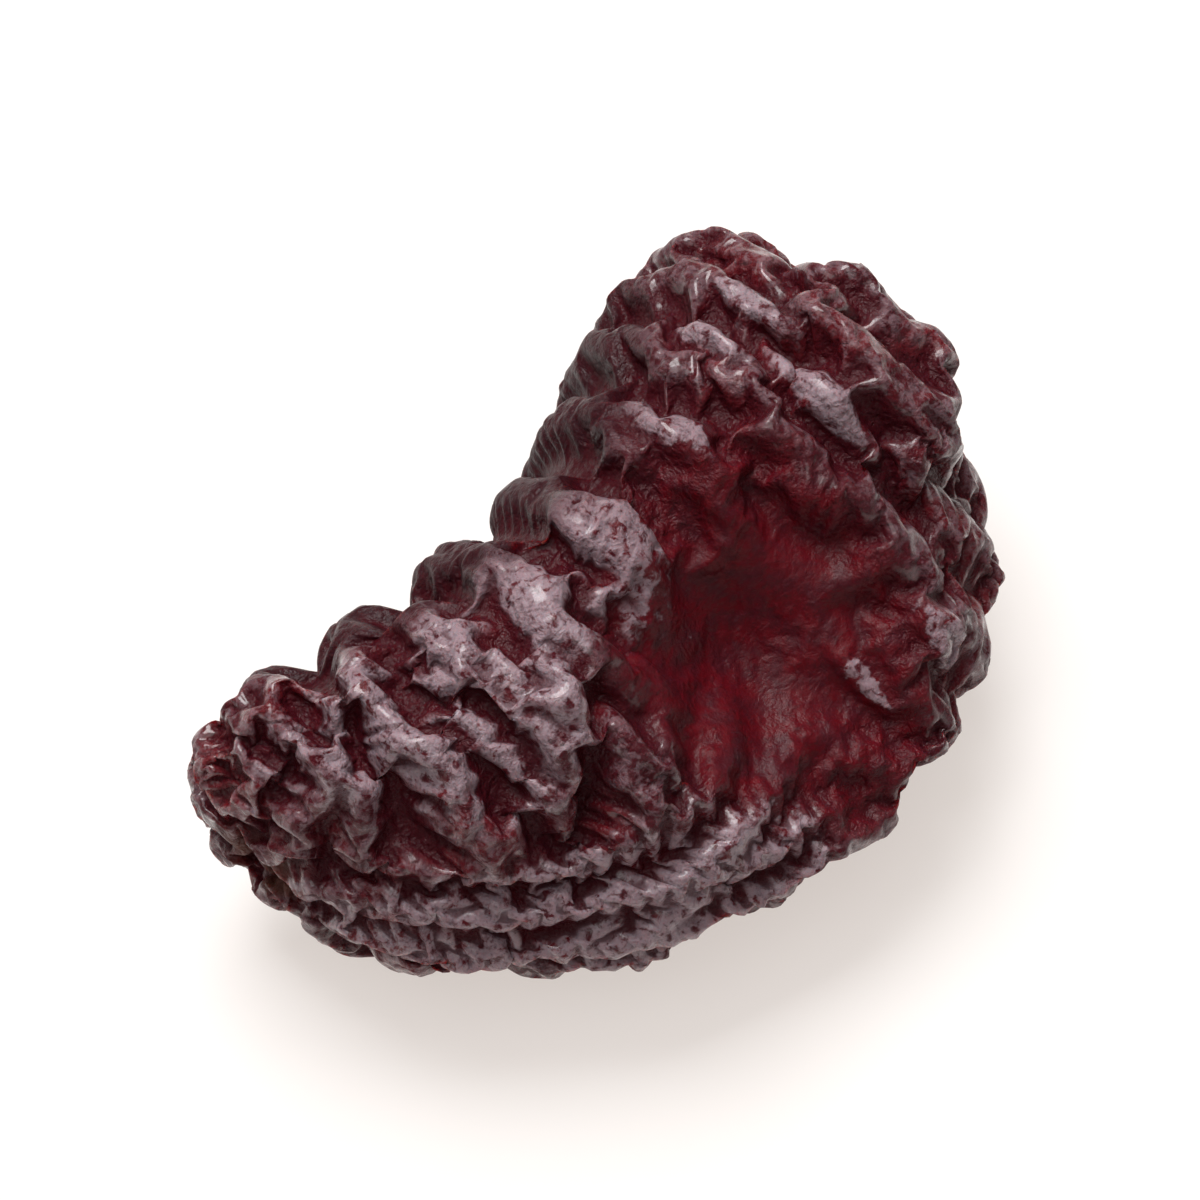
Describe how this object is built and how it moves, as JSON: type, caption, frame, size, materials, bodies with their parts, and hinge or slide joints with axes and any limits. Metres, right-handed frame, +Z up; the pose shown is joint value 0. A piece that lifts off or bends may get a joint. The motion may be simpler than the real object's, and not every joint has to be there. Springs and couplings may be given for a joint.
{
  "type": "dried cranberry",
  "caption": "Dried cranberry, bowed to a half moon, with shrivelled skin in glossy ribs and folds and a small flat underside to rest on.",
  "frame": {"origin": "centre of the bounding box at the floor the berry rests on", "axes": "+X along the berry, +Y towards its straight flank, +Z up"},
  "size_m": [0.0154, 0.0098, 0.0076],
  "materials": {
    "skin": "dark maroon shrivelled fruit skin, glossy on its ribs"
  },
  "bodies": {
    "root": {"cranberry": "skin"}
  },
  "joints": []
}
